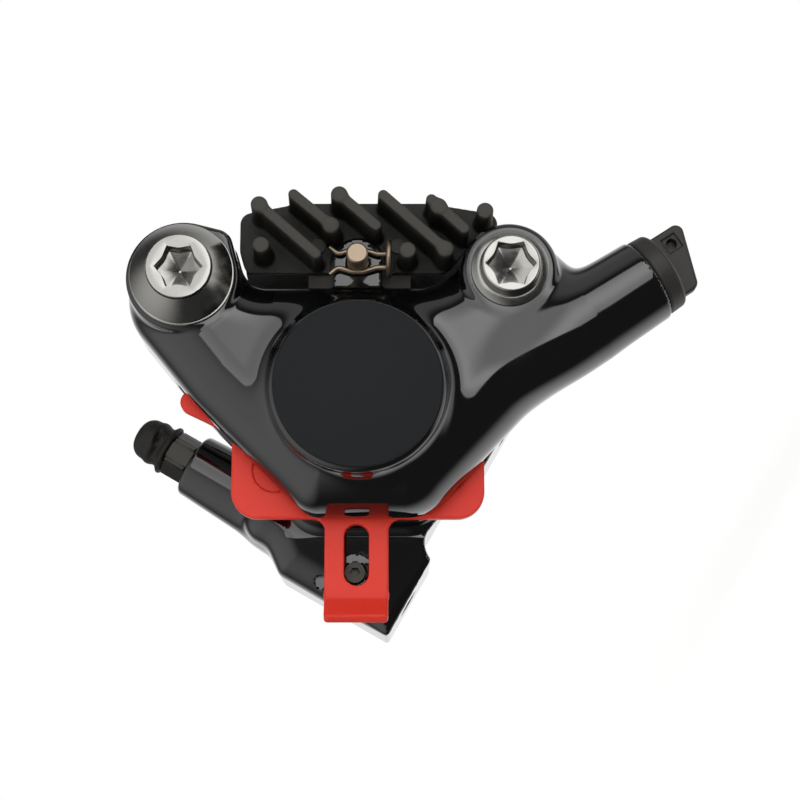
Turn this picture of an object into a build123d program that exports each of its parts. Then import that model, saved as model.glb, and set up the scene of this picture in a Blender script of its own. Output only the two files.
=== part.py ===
from build123d import *
import os
from math import acos, atan2, cos, hypot, pi, radians, sin, sqrt

# Two-piece hydraulic disc brake caliper for a road bicycle, with a flat foot for a frame's rear
# stay. All sizes in millimetres.
#
# The part frame stands on the foot: origin midway between the two mounting holes, x along the line
# of the holes towards the hose, y outboard, z up from the foot.
# Most pieces are drawn in the rotor frame instead: u and v lie in the rotor's middle plane with
# the piston axis at their origin, v points away from the hub, and w points inboard.

# Places of the main axes
hole_spacing = 34.0
rotor_offset = 15.0
piston_x = 6.0
piston_z = 22.8
rotor_turn = 60.0
rotor_r = 70.0
rotor_reach = 9.0

# Clearances that several pieces share
overrun = 2.0
hair = 0.05
loose = 0.3
sink = 0.2

# Rotor slot and pad pocket
slot_half = 2.4
rotor_clearance = 1.5
pocket_half = 12.9
pocket_bottom = 11.1
pocket_w = 5.9

# Outline of both body halves: centres and radii of the circles that it runs round
upper_ear_u = -28.4
upper_ear_v = 18.55
upper_ear_r = 9.5
front_ear_u = 24.4
front_ear_v = 19.65
front_ear_r = 8.0
shoulder_u = -25.5
shoulder_v = 9.9
shoulder_r = 8.3
left_knee_u = -6.1
left_knee_r = 5.5
right_knee_u = 7.6
right_knee_r = 8.7
chin_v = -19.2
waist_r = 20.0
waist_back = 25.2
saddle_v = 18.8
saddle_left_r = 2.0
saddle_right_r = 9.0
saddle_gap = 0.3

# Heights of the halves above the rotor plane
slab_w = 10.5
slab_round = 4.2
upper_ear_w = 13.6
front_ear_w = 13.9
outer_ear_w = 13.0
ear_round = 1.2
ear_step = 0.1

# Rounded ridge that runs from the upper ear round the chin into the hose tube
ridge_r = 6.6
ridge_w = 7.6
ridge_inset = 7.0
ridge_bend = 7.0
ridge_left_u = -5.45
ridge_right_u = 8.1
ridge_fork_u = 23.7
ridge_fork_v = 4.15
tube_end_u = 47.2
tube_end_v = 19.4
tube_r = 7.1
tube_root = 19.0

# Cylinder boss with its flare, and the bore
disc_r = 13.4
disc_w = 17.0
disc_step = 0.6
boss_r = 14.0
flare_r = 18.2
bore_w = 14.65
groove_depth = 1.9
groove_w = 6.6
groove_width = 2.0

# Pistons and seals
piston_r = 11.0
piston_length = 8.4
piston_cup_r = 7.6
piston_cup_depth = 6.2
piston_chamfer = 0.6
seal_side_gap = 0.1

# Pads: lining, steel plate, finned radiator
pad_gap_half = 1.65
lining_t = 2.2
plate_t = 1.8
plate_half = 12.7
plate_bottom = -10.8
plate_shoulder = 11.6
plate_corner = 2.5
tab_half = 8.4
tab_rise = 5.8
tab_corner = 3.0
tab_fillet = 1.6
lining_inset = 0.8
lining_top = 9.6
lining_groove = 1.4
lining_groove_depth = 1.3
radiator_t = 0.9
radiator_left = -19.8
radiator_width = 42.6
radiator_rise = 2.1
radiator_height = 12.1
radiator_corner = 2.0
radiator_droop = 1.6
fin_w = 14.0
fin_half = 0.85
post_r = 1.33
ear_room = 0.6
rivet_side = 6.6
rivet_rise = 3.1
rivet_r = 0.9
rivet_head_r = 1.25
rivet_head_t = 0.35
rivet_fit = 0.02

# Places on the radiator as shares of its width and height: both ends of each rib, then posts
rib_shares = [
    ((0.085, 0.79), (0.303, 0.10)),
    ((0.216, 0.93), (0.36, 0.496)),
    ((0.39, 0.93), (0.53, 0.496)),
    ((0.558, 0.92), (0.793, 0.165)),
    ((0.741, 0.86), (0.865, 0.45)),
]
post_shares = [
    (0.085, 0.79), (0.36, 0.496), (0.39, 0.93), (0.793, 0.165), (0.769, 0.76),
    (0.945, 0.70), (0.095, 0.223), (0.65, 0.15),
]

# Pad axle, its two lugs and its snap clip
axle_u = -0.25
axle_rise = 3.6
axle_r = 1.75
axle_end_w = 13.4
axle_hole_gap = 0.15
axle_head_r = 2.9
axle_head_t = 1.5
axle_slot_width = 0.8
axle_slot_depth = 0.7
axle_tip_chamfer = 0.25
lug_r = 3.9
lug_gap = 0.65
lug_t = 1.7
lug_root = 6.0
clip_wire_r = 0.45
clip_neck = 1.15
clip_reach = 4.6
clip_flare = 2.3
clip_ring_u = 5.1
clip_ring_r = 2.75
clip_ring_rise = 1.3
clip_bend = 1.2
axle_groove_depth = 0.4

# Leaf spring between the pads
spring_t = 0.3
spring_half_gap = 2.0
spring_half_width = 6.5
spring_low = 11.5
spring_rise = 6.6
spring_window = 2.6
spring_leg = 3.4

# Bolts that clamp the halves
bolt_r = 3.0
bolt_hole_gap = 0.2
bolt_thread_gap = 0.05
bolt_reach = 11.2
bolt_tip_room = 0.4
bolt_tip_chamfer = 0.6
washer_r = 8.2
washer_top_r = 5.6
washer_rim_t = 0.5
washer_t = 1.7
upper_head_r = 5.2
upper_head_t = 3.4
upper_head_chamfer = 0.5
front_flange_r = 6.4
front_flange_t = 0.5
front_head_r = 4.9
front_head_t = 3.5
front_neck_t = 1.9
front_seat_depth = 0.6
seat_gap = 0.4
lobe_ring_r = 2.55
lobe_r = 0.85
lobe_depth = 2.3
lobe_core_r = 2.35
drill_depth = 0.8

# Fluid passages and the ring between the halves
passage_r = 0.8
cross_u = 17.2
cross_v = 14.0
cross_turn_w = 7.2
cross_entry_w = 10.6
cross_angle = 39.2
inlet_angle = 26.1
inlet_entry_w = 11.0
entry_inset = 0.6
ring_r = 2.2
ring_wire_r = 0.5
ring_gland_depth = 0.8
ring_gland_gap = 0.1

# Hose port and its transit plug
port_r = 4.2
port_depth = 12.0
plug_stem_r = 4.0
plug_stem = 9.0
plug_collar_r = 6.8
plug_collar_t = 3.3
plug_tab_t = 2.4
plug_tab_reach = 9.6
plug_tab_short = 5.9
plug_tab_side = 5.4
plug_tab_corner = 1.2
plug_hole_r = 1.1
plug_hole_reach = 7.0
plug_hole_side = 2.6

# Foot of the outboard half
foot_rear = 24.0
foot_front = 23.5
foot_half = 9.5
foot_corner = 0.8
foot_relief = 1.0
relief_rear = 10.2
relief_front = 11.0
relief_round = 3.0
foot_front_top = 12.0
foot_front_r = 4.0
foot_back_x = -20.6
foot_back_z = 20.5
foot_back_r = 4.3
foot_crown_x = -17.4
foot_crown_z = 27.4
foot_crown_r = 4.6
foot_mid_r = 12.0
foot_side_z = 17.0
foot_side_r = 9.0
foot_edge = 0.6
thread_r = 2.1
thread_depth = 12.0
thread_mouth = 0.5

# Bleed tube, nipple and cap
bleed_x = -14.7
bleed_tube_r = 4.9
bleed_tube_top = 44.5
bleed_tube_round = 0.8
bleed_bore_r = 3.0
bleed_bore_depth = 10.5
nipple_r = 2.9
nipple_hex = 7.0
nipple_collar_gap = 0.15
nipple_hex_t = 3.0
nipple_neck_r = 1.7
nipple_barb_r = 2.3
nipple_neck = 4.2
nipple_barb = 2.2
nipple_bore_r = 0.8
nipple_seat = 2.2
bleed_entry_w = 13.6
bleed_entry_angle = 157.0
cap_r = 3.9
cap_crown_t = 1.25
cap_round = 1.8
cap_gap = 0.1
cap_rib_r = 4.2
cap_rib_t = 1.0
cap_tag_length = 4.6
cap_tag_width = 3.2
cap_tag_t = 1.2

# Screw plug of the cross drilling, on the inner face of the foot
screw_u = -0.8
screw_v = -27.0
screw_r = 1.7
screw_length = 3.6
screw_recess = 0.3
screw_hex_r = 0.9
screw_hex_depth = 1.6

# Transit spacer between the pads
spacer_half = 1.0
spacer_left = -21.0
spacer_right = 20.5
spacer_low = -19.0
spacer_high = 8.0
spacer_corner = 4.5
spacer_shoulder = -4.2
spacer_step_r = 1.5
spacer_neck_half = 12.2
handle_left = -5.6
handle_right = 4.8
handle_end = -31.9
handle_fillet = 2.0
handle_corner = 0.5
lip_length = 4.6
lip_turn = 35.0
lip_t = 1.8
slot_u = -0.4
slot_r = 2.0
slot_top = -19.9
slot_end = -29.9
window_width = 3.0
window_height = 1.1
window_v = -18.2
wing_u = 27.3
wing_v = -0.9
wing_tip_r = 2.2
wing_root_v = -7.0
dish_inset = 5.6
dish_low = -13.6
dish_high = -8.6
dish_r = 1.9
dish_depth = 0.35

# Values that follow from the sizes above
rotor_plane = Plane(
    origin=(piston_x, -rotor_offset, piston_z),
    x_dir=(cos(radians(rotor_turn)), 0, -sin(radians(rotor_turn))),
    z_dir=(0, -1, 0),
)
plate_w = pad_gap_half + lining_t
pad_back_w = plate_w + plate_t
bore_r = piston_r + hair
groove_r = bore_r + groove_depth
lug_w = pad_back_w + lug_gap
lug_end_w = lug_w + lug_t
clip_w = lug_end_w + loose + clip_wire_r
knee_v = chin_v + left_knee_r
hub_drop = rotor_r - rotor_reach
axle_v = saddle_v + axle_rise
radiator_bottom = saddle_v + radiator_rise
foot_w = rotor_offset - foot_half
tube_angle = atan2(tube_end_v - ridge_fork_v, tube_end_u - ridge_fork_u)
tube_along = (cos(tube_angle), sin(tube_angle), 0)
tube_end = (tube_end_u, tube_end_v, ridge_w)


def belt(circles):
    """Face inside a belt that runs anticlockwise round circles (u, v, radius) on tangent lines;
    a negative radius is a circle outside the belt, which it bends round as a hollow."""
    normals = []
    for (u, v, r), (next_u, next_v, next_r) in zip(circles, circles[1:] + circles[:1]):
        lean = acos((r - next_r) / hypot(next_u - u, next_v - v))
        normals.append(atan2(next_v - v, next_u - u) - lean)
    edges = []
    for index, (u, v, r) in enumerate(circles):
        start = normals[index - 1]
        turn = (normals[index] - start) % (2 * pi)
        turn = turn if r > 0 else turn - 2 * pi
        ends = [(u + r * cos(a), v + r * sin(a)) for a in (start, start + turn / 2, start + turn)]
        edges.append(ThreePointArc(*ends))
        next_u, next_v, next_r = circles[(index + 1) % len(circles)]
        leave = normals[index]
        edges.append(Line(ends[-1], (next_u + next_r * cos(leave), next_v + next_r * sin(leave))))
    return make_face(edges)


def prism(face, low, high):
    """Solid between two heights over a face drawn at height zero."""
    return extrude(Pos(0, 0, low) * face, amount=high - low, dir=(0, 0, 1))


def strap(start, end, radius, low, high):
    """Solid of a round-ended bar between two points."""
    return prism(belt([(*start, radius), (*end, radius)]), low, high)


def block(low, high):
    """Box between two opposite corners."""
    size = [b - a for a, b in zip(low, high)]
    return Pos(*low) * Box(*size, align=(Align.MIN, Align.MIN, Align.MIN))


def drum(u, v, radius, low, high, edge):
    """Upright cylinder whose upper edge is rounded."""
    solid = Pos(u, v, low) * Cylinder(radius, high - low, align=(Align.CENTER, Align.CENTER, Align.MIN))
    return fillet(solid.edges().group_by(Axis.Z)[-1], edge) if edge else solid


def rod(start, end, radius):
    """Cylinder from one point to another."""
    along = Vector(*end) - Vector(*start)
    plane = Plane(origin=start, z_dir=along)
    return plane * Cylinder(radius, along.length, align=(Align.CENTER, Align.CENTER, Align.MIN))


def turned(profile):
    """Solid turned about the height axis from a closed profile of (radius, height) points."""
    return revolve(Plane.XZ * make_face(Polyline(*profile, close=True)), axis=Axis.Z)


def flip(solid):
    """The same piece on the other side of the rotor."""
    return mirror(solid, about=Plane.XY)


def at_radius(angle, radius, height):
    """Point of the rotor frame at an angle in degrees and a radius from the piston axis."""
    return (radius * cos(radians(angle)), radius * sin(radians(angle)), height)


def saddle_circle(ear_u, ear_v, ear_r, radius, side):
    """Hollow that rounds the corner between an ear and the straight saddle between the ears."""
    reach = ear_r + radius + saddle_gap
    rise = saddle_v + radius - ear_v
    return (ear_u + side * sqrt(reach**2 - rise**2), saddle_v + radius, -radius)


def outline(with_tube, room=0):
    """Outline of a body half, with room left round it; the half with the hose tube is wider."""
    knees = [(left_knee_u, knee_v, left_knee_r), (right_knee_u, chin_v + right_knee_r, right_knee_r)]
    back = tube_root * tube_along[0], tube_root * tube_along[1]
    drop = waist_r + tube_r
    waist_u = tube_end_u - waist_back * tube_along[0] + drop * tube_along[1]
    waist_v = tube_end_v - waist_back * tube_along[1] - drop * tube_along[0]
    tube = [(waist_u, waist_v, -waist_r), (tube_end_u - back[0] / 2, tube_end_v - back[1] / 2, tube_r - ear_step)]
    ears = [
        (front_ear_u, front_ear_v, front_ear_r),
        saddle_circle(front_ear_u, front_ear_v, front_ear_r, saddle_right_r, -1),
        saddle_circle(upper_ear_u, upper_ear_v, upper_ear_r, saddle_left_r, 1),
        (upper_ear_u, upper_ear_v, upper_ear_r),
        (shoulder_u, shoulder_v, shoulder_r),
    ]
    return belt([(u, v, r + room) for u, v, r in knees + (tube if with_tube else []) + ears])


def boss():
    """Cylinder boss: a flat disc on a round wall that flares out into the body below it."""
    flare = flare_r - boss_r
    low = slab_w - sink
    ring = disc_w - disc_step
    middle = (flare_r - flare * cos(pi / 4), low + flare - flare * sin(pi / 4))
    edges = [
        Line((0, slot_half), (flare_r, slot_half)),
        Line((flare_r, slot_half), (flare_r, low)),
        ThreePointArc((flare_r, low), middle, (boss_r, low + flare)),
        Line((boss_r, low + flare), (boss_r, ring)),
        Line((boss_r, ring), (disc_r, ring)),
        Line((disc_r, ring), (disc_r, disc_w)),
        Line((disc_r, disc_w), (0, disc_w)),
        Line((0, disc_w), (0, slot_half)),
    ]
    return revolve(Plane.XZ * make_face(edges), axis=Axis.Z)


def lug():
    """Flat lug that carries one end of the pad axle above the saddle."""
    foot = (axle_u, saddle_v - lug_root + lug_r)
    return strap((axle_u, axle_v), foot, lug_r, lug_w, lug_end_w)


def end_room():
    """Space beyond a lug that other pieces leave free for the axle's head or its clip."""
    wire = clip_wire_r + loose
    left = axle_u - clip_reach - wire
    right = axle_u + clip_ring_u + wire
    side = clip_flare + wire
    room = drum(axle_u, axle_v, axle_head_r + loose, lug_end_w, 2 * disc_w, 0)
    room += block((left, axle_v - side, lug_end_w), (right, axle_v + side, 2 * disc_w))
    side = clip_ring_r + wire
    low = (axle_u + clip_ring_u - wire, axle_v - side, clip_w + clip_ring_rise - side)
    return room + block(low, (right, axle_v + side, 2 * disc_w))


def half(with_tube):
    """What both halves have: rounded slab, boss and axle lug."""
    slab = prism(outline(with_tube), 0, slab_w)
    slab = fillet(slab.edges().group_by(Axis.Z)[-1], slab_round)
    return slab + boss() + lug()


def hollows():
    """What both halves lack: rotor slot, pad pocket, bore, groove, axle's room and passages."""
    rotor = Pos(0, -hub_drop, 0) * Cylinder(rotor_r + rotor_clearance, 2 * slot_half)
    pocket = block((-pocket_half, -pocket_bottom, -overrun), (pocket_half, 2 * axle_v, pocket_w))
    bore = drum(0, 0, bore_r, 0, bore_w, 0)
    groove = drum(0, 0, groove_r, groove_w, groove_w + groove_width, 0)
    axle_hole = drum(axle_u, axle_v, axle_r + hair, 0, lug_end_w + overrun, 0)
    cross_low = (cross_u, cross_v, -overrun)
    cross_high = (cross_u, cross_v, cross_turn_w)
    entry = at_radius(cross_angle, bore_r - entry_inset, cross_entry_w)
    cross = rod(cross_low, cross_high, passage_r) + rod(cross_high, entry, passage_r)
    return [rotor, pocket, bore, groove, axle_hole, cross, end_room()]


def inboard_body():
    """Half on the wheel's side, with the ridge and the hose tube."""
    ear_u = upper_ear_u + (upper_ear_r - ridge_inset) / 2
    ear_v = shoulder_v + (upper_ear_v - shoulder_v) / 3
    chin = chin_v + ridge_inset
    route = [(ear_u, ear_v), (ridge_left_u, chin), (ridge_right_u, chin), (ridge_fork_u, ridge_fork_v)]
    path = Pos(0, 0, ridge_w) * FilletPolyline(*route, (tube_end_u, tube_end_v), radius=ridge_bend)
    ridge = sweep(Plane(path @ 0, z_dir=path % 0) * Circle(ridge_r), path=path)
    root = [tube_end[i] - tube_root * tube_along[i] for i in range(3)]
    body = half(True) + ridge + rod(root, tube_end, tube_r)
    body += drum(upper_ear_u, upper_ear_v, upper_ear_r - ear_step, 0, upper_ear_w, ear_round)
    body += drum(front_ear_u, front_ear_v, front_ear_r - ear_step, 0, front_ear_w, ear_round)
    body -= block((upper_ear_u * 2, -2 * rotor_r, -2 * ridge_r), (2 * tube_end_u, rotor_r, 0))
    for hollow in hollows():
        body -= hollow
    for u, v in ((upper_ear_u, upper_ear_v), (front_ear_u, front_ear_v)):
        body -= drum(u, v, bolt_r + bolt_hole_gap, -overrun, front_ear_w + overrun, 0)
    for u, v, r, seat in (
        (upper_ear_u, upper_ear_v, washer_r, upper_ear_w),
        (front_ear_u, front_ear_v, front_flange_r, front_ear_w - front_seat_depth),
    ):
        body -= drum(u, v, r + seat_gap, seat, disc_w, 0)
    mouth = [tube_end[i] + overrun * tube_along[i] for i in range(3)]
    bottom = [tube_end[i] - port_depth * tube_along[i] for i in range(3)]
    body -= rod(bottom, mouth, port_r)
    body -= rod(bottom, at_radius(inlet_angle, bore_r - entry_inset, inlet_entry_w), passage_r)
    return body


def foot():
    """Foot in the part frame: a side profile crossed with an end profile."""
    low = foot_corner
    side = belt([
        (-foot_rear + low, low, foot_corner),
        (foot_front - low, low, foot_corner),
        (foot_front - foot_front_r, foot_front_top, foot_front_r),
        (piston_x, piston_z, foot_mid_r),
        (foot_crown_x, foot_crown_z, foot_crown_r),
        (foot_back_x, foot_back_z, foot_back_r),
    ])
    inner = foot_half - foot_edge
    end = belt([
        (-inner, foot_edge, foot_edge),
        (inner, foot_edge, foot_edge),
        (foot_half - foot_side_r, foot_side_z + foot_side_r, foot_side_r),
        (-inner, foot_side_z + 2 * foot_side_r - foot_edge, foot_edge),
    ])
    along = extrude(Plane.XZ * side, amount=rotor_offset, both=True)
    across = extrude(Plane.YZ * end, amount=foot_rear + foot_front, both=True)
    solid = along & across
    relief = belt([
        (-relief_rear + relief_round, foot_relief - relief_round, relief_round),
        (relief_front - relief_round, foot_relief - relief_round, relief_round),
    ])
    solid -= extrude(Plane.XZ * relief, amount=rotor_offset, both=True)
    return solid


def outboard_body():
    """Half on the frame's side, with the foot, the mounting threads and the bleed tube."""
    body = flip(half(False))
    for u, v, r in ((upper_ear_u, upper_ear_v, upper_ear_r), (front_ear_u, front_ear_v, front_ear_r)):
        body += flip(drum(u, v, r - ear_step, 0, outer_ear_w, ear_round))
    body = rotor_plane * body + foot()
    body += drum(bleed_x, 0, bleed_tube_r, foot_back_z, bleed_tube_top, bleed_tube_round)
    cuts = hollows()
    cuts.append(block((-2 * rotor_r, -rotor_r, -slot_half), (rotor_r, 2 * rotor_r, 0)))
    cuts.append(drum(screw_u, screw_v, screw_r + hair, 0, foot_w + screw_recess + screw_length, 0))
    gland = ring_wire_r + ring_gland_gap
    cuts.append(drum(cross_u, cross_v, ring_r + gland, 0, ring_gland_depth, 0))
    for u, v in ((upper_ear_u, upper_ear_v), (front_ear_u, front_ear_v)):
        cuts.append(drum(u, v, bolt_r + bolt_thread_gap, 0, bolt_reach + bolt_tip_room, 0))
    for cut in cuts:
        body -= rotor_plane * flip(cut)
    for side in (-1, 1):
        x = side * hole_spacing / 2
        body -= rod((x, 0, -overrun), (x, 0, thread_depth), thread_r)
        mouth = [(0, -thread_mouth), (thread_r + 2 * thread_mouth, -thread_mouth), (0, thread_r + thread_mouth)]
        body -= Pos(x, 0, 0) * turned(mouth)
    bottom = bleed_tube_top - bleed_bore_depth
    body -= rod((bleed_x, 0, bottom), (bleed_x, 0, bleed_tube_top + overrun), bleed_bore_r)
    entry = rotor_plane * Pos(*at_radius(bleed_entry_angle, bore_r - entry_inset, -bleed_entry_w))
    body -= rod((bleed_x, 0, bottom), tuple(entry.position), passage_r)
    return body


def piston():
    """Cup piston, open towards the pad."""
    back = pad_back_w + piston_length
    return turned([
        (0, back),
        (0, pad_back_w + piston_cup_depth),
        (piston_cup_r, pad_back_w + piston_cup_depth),
        (piston_cup_r, pad_back_w),
        (piston_r, pad_back_w),
        (piston_r, back - piston_chamfer),
        (piston_r - piston_chamfer, back),
    ])


def piston_seal():
    """Square ring in the bore's groove, which grips the piston."""
    gap = seal_side_gap / 2
    outer = drum(0, 0, groove_r - hair, groove_w + gap, groove_w + groove_width - gap, 0)
    return outer - drum(0, 0, piston_r + hair, 0, bore_w, 0)


def pad_plate():
    """Steel back of a pad, with a tab that the axle and the radiator's rivets pass through."""
    corner = plate_corner
    side = plate_half - corner
    tab = tab_half - tab_corner
    tab_low = axle_v + tab_rise - tab_corner
    face = belt([
        (-side, plate_bottom + corner, corner),
        (side, plate_bottom + corner, corner),
        (side, plate_shoulder - corner, corner),
        (tab_half + tab_fillet, plate_shoulder + tab_fillet, -tab_fillet),
        (tab, tab_low, tab_corner),
        (-tab, tab_low, tab_corner),
        (-tab_half - tab_fillet, plate_shoulder + tab_fillet, -tab_fillet),
        (-side, plate_shoulder - corner, corner),
    ])
    plate = prism(face, plate_w, pad_back_w)
    plate -= drum(axle_u, axle_v, axle_r + axle_hole_gap, 0, disc_w, 0)
    for u, v in rivet_places():
        plate -= drum(u, v, rivet_r + rivet_fit, 0, disc_w, 0)
    return plate


def pad_lining():
    """Friction block with a dust groove down its middle."""
    corner = plate_corner
    side = plate_half - lining_inset - corner
    low = plate_bottom + lining_inset
    face = belt([
        (-side, low + corner, corner),
        (side, low + corner, corner),
        (side, lining_top - corner, corner),
        (-side, lining_top - corner, corner),
    ])
    lining = prism(face, pad_gap_half, plate_w)
    width = lining_groove / 2
    reach = pad_gap_half + lining_groove_depth
    return lining - block((-width, 2 * plate_bottom, 0), (width, 2 * lining_top, reach))


def radiator_point(share):
    """Place on the radiator from its shares of width and height."""
    return (radiator_left + share[0] * radiator_width, radiator_bottom + share[1] * radiator_height)


def rivet_places():
    """Where the rivets hold the radiator to the steel plate, either side of the axle."""
    return [(axle_u + side * rivet_side, axle_v + rivet_rise) for side in (-1, 1)]


def radiator():
    """Cast radiator: a thin plate above the saddle, with slanting ribs and round posts."""
    corner = radiator_corner
    right = radiator_left + radiator_width
    top = radiator_bottom + radiator_height
    face = belt([
        (radiator_left + corner, radiator_bottom + corner, corner),
        (right - corner, radiator_bottom + corner, corner),
        (right - corner, top - corner - radiator_droop, corner),
        (right / 2, top - corner, corner),
        (radiator_left / 2, top - corner, corner),
        (radiator_left + corner, top - corner - radiator_droop, corner),
    ])
    room = lug_r + ear_room
    top_w = pad_back_w + radiator_t
    plate = prism(face, pad_back_w, top_w)
    for start, end in rib_shares:
        plate += strap(radiator_point(start), radiator_point(end), fin_half, top_w - hair, fin_w)
    for share in post_shares:
        plate += drum(*radiator_point(share), post_r, top_w - hair, fin_w, 0)
    plate -= prism(outline(False, ear_room), 0, disc_w)
    plate -= strap((axle_u, axle_v), (axle_u, radiator_bottom - room), room, 0, disc_w)
    for u, v in rivet_places():
        plate -= drum(u, v, rivet_r + rivet_fit, 0, disc_w, 0)
        plate -= drum(u, v, rivet_head_r + hair, top_w, disc_w, 0)
    return plate - end_room()


def radiator_rivets():
    """Two rivets whose heads close on the steel plate and on the radiator."""
    rivets = []
    for u, v in rivet_places():
        shank = drum(u, v, rivet_r, plate_w - rivet_head_t, pad_back_w + radiator_t + rivet_head_t, 0)
        low = drum(u, v, rivet_head_r, plate_w - rivet_head_t, plate_w, 0)
        high = pad_back_w + radiator_t
        rivets.append(shank + low + drum(u, v, rivet_head_r, high, high + rivet_head_t, 0))
    return Compound(children=[Compound(rivet.wrapped) for rivet in rivets])


def pad_spring():
    """Leaf spring bent over the axle, with two sprung legs beside each pad."""
    middle = spring_half_gap
    bend = middle - spring_t
    crown_v = axle_v + spring_rise - middle
    leaf = block((-spring_half_width, 0, bend), (spring_half_width, crown_v - spring_low, middle))
    sheet = Pos(0, spring_low, 0) * (leaf + flip(leaf))
    crown = Plane(origin=(-spring_half_width, crown_v, 0), x_dir=(0, 1, 0), z_dir=(1, 0, 0))
    ring = Circle(middle) - Circle(bend)
    cover = crown * extrude(ring, amount=2 * spring_half_width)
    sheet += cover - block((-disc_w, crown_v - disc_w, -disc_w), (disc_w, crown_v, disc_w))
    gap = spring_half_width - spring_leg
    fork = axle_v - spring_low - axle_r - spring_window
    sheet -= block((-gap, 0, -disc_w), (gap, spring_low + fork, disc_w))
    sheet = Pos(axle_u, 0, 0) * sheet
    return sheet - drum(axle_u, axle_v, axle_r + axle_hole_gap, -disc_w, disc_w, 0)


def pad_axle():
    """Pin through both lugs, both pads and the spring, with a slotted head and a clip groove."""
    head = -lug_end_w - axle_head_t
    neck = axle_r - axle_groove_depth
    low = clip_w - clip_wire_r - hair
    high = clip_w + clip_wire_r + hair
    pin = turned([
        (0, head),
        (axle_head_r, head),
        (axle_head_r, -lug_end_w),
        (axle_r, -lug_end_w),
        (axle_r, low),
        (neck, low),
        (neck, high),
        (axle_r, high),
        (axle_r, axle_end_w - axle_tip_chamfer),
        (axle_r - axle_tip_chamfer, axle_end_w),
        (0, axle_end_w),
    ])
    slot = axle_slot_width / 2
    cut = block((-axle_r * 2, -slot, head - overrun), (axle_r * 2, slot, head + axle_slot_depth))
    return Pos(axle_u, axle_v, 0) * (pin - cut)


def axle_clip():
    """Wire clip: two waved legs that snap round the axle's groove, joined by an upright ring."""
    grip = axle_r - axle_groove_depth + clip_wire_r + hair
    legs = []
    for side in (-1, 1):
        route = [
            (-clip_reach, side * clip_flare),
            (-(clip_reach + grip) / 2, side * clip_neck),
            (-grip / 2, side * grip),
            (grip / 2, side * grip),
            ((clip_reach + grip) / 2, side * clip_neck),
            (clip_ring_u, side * clip_neck),
        ]
        path = FilletPolyline(*route, radius=clip_bend)
        legs.append(sweep(Plane(path @ 0, z_dir=path % 0) * Circle(clip_wire_r), path=path))
    ring = Plane(origin=(clip_ring_u, 0, clip_ring_rise), z_dir=(1, 0, 0)) * Torus(clip_ring_r, clip_wire_r)
    half_chord = sqrt(clip_ring_r**2 - clip_ring_rise**2)
    bridge = rod((clip_ring_u, -half_chord, 0), (clip_ring_u, half_chord, 0), clip_wire_r)
    return Pos(axle_u, axle_v, clip_w) * (legs[0] + legs[1] + ring + bridge)


def six_lobe(depth_from, depth_to):
    """Cut of a six-lobe drive."""
    cut = drum(0, 0, lobe_core_r, depth_from, depth_to, 0)
    for index in range(6):
        angle = index * pi / 3
        cut += drum(lobe_ring_r * cos(angle), lobe_ring_r * sin(angle), lobe_r, depth_from, depth_to, 0)
    return cut


def bolt(u, v, seat, profile, top):
    """Body bolt: a turned head on a plain shank, with a six-lobe drive and a drill point."""
    tip = -bolt_reach
    shank = [(0, tip), (bolt_r - bolt_tip_chamfer, tip), (bolt_r, tip + bolt_tip_chamfer), (bolt_r, seat)]
    solid = turned(shank + profile + [(0, top)])
    floor = top - lobe_depth
    point = turned([(0, floor - drill_depth), (lobe_core_r, floor), (lobe_core_r, top), (0, top)])
    return Pos(u, v, 0) * (solid - six_lobe(floor, top + overrun) - point)


def upper_body_bolt():
    """Cheese-head bolt of the upper ear."""
    seat = upper_ear_w + washer_t
    top = seat + upper_head_t
    edge = upper_head_chamfer
    profile = [(upper_head_r, seat), (upper_head_r, top - edge), (upper_head_r - edge, top)]
    return bolt(upper_ear_u, upper_ear_v, seat, profile, top)


def upper_bolt_washer():
    """Wide conical washer under the upper bolt."""
    rim = upper_ear_w + washer_rim_t
    hole = bolt_r + bolt_hole_gap
    ring = turned([
        (hole, upper_ear_w),
        (washer_r, upper_ear_w),
        (washer_r, rim),
        (washer_top_r, upper_ear_w + washer_t),
        (hole, upper_ear_w + washer_t),
    ])
    return Pos(upper_ear_u, upper_ear_v, 0) * ring


def front_body_bolt():
    """Flange bolt of the front ear, whose domed flange sits in a shallow pocket."""
    seat = front_ear_w - front_seat_depth
    rim = seat + front_flange_t
    neck = seat + front_neck_t
    top = seat + front_head_t
    edge = upper_head_chamfer
    profile = [
        (front_flange_r, seat),
        (front_flange_r, rim),
        (front_head_r, neck),
        (front_head_r, top - edge),
        (front_head_r - edge, top),
    ]
    return bolt(front_ear_u, front_ear_v, seat, profile, top)


def passage_ring():
    """Rubber ring that seals the passage between the halves."""
    return Pos(cross_u, cross_v, -ring_gland_depth / 2) * Torus(ring_r, ring_gland_depth / 2)


def passage_screw():
    """Hexagon-socket screw that closes a drilling in the foot."""
    top = foot_w + screw_recess
    body = drum(screw_u, screw_v, screw_r, top, top + screw_length, 0)
    socket = prism(RegularPolygon(screw_hex_r, 6), top - overrun, top + screw_hex_depth)
    return flip(body - Pos(screw_u, screw_v, 0) * socket)


def hose_plug():
    """Transit plug of the hose port: stem, collar and a flat finger tab with a hole."""
    stem = [tube_end[i] - plug_stem * tube_along[i] for i in range(3)]
    collar = [tube_end[i] + plug_collar_t * tube_along[i] for i in range(3)]
    plug = rod(stem, tube_end, plug_stem_r) + rod(tube_end, collar, plug_collar_r)
    corner = plug_tab_corner
    side = plug_tab_side - corner
    root = plug_collar_t - corner
    face = belt([
        (root, -side, corner),
        (plug_tab_short - corner, -side, corner),
        (plug_tab_reach - corner, side, corner),
        (root, side, corner),
    ])
    tab = prism(face, -plug_tab_t / 2, plug_tab_t / 2)
    tab -= drum(plug_hole_reach, plug_hole_side, plug_hole_r, -plug_tab_t, plug_tab_t, 0)
    return plug + Plane(origin=tube_end, x_dir=tube_along, z_dir=(0, 0, 1)) * tab


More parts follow.
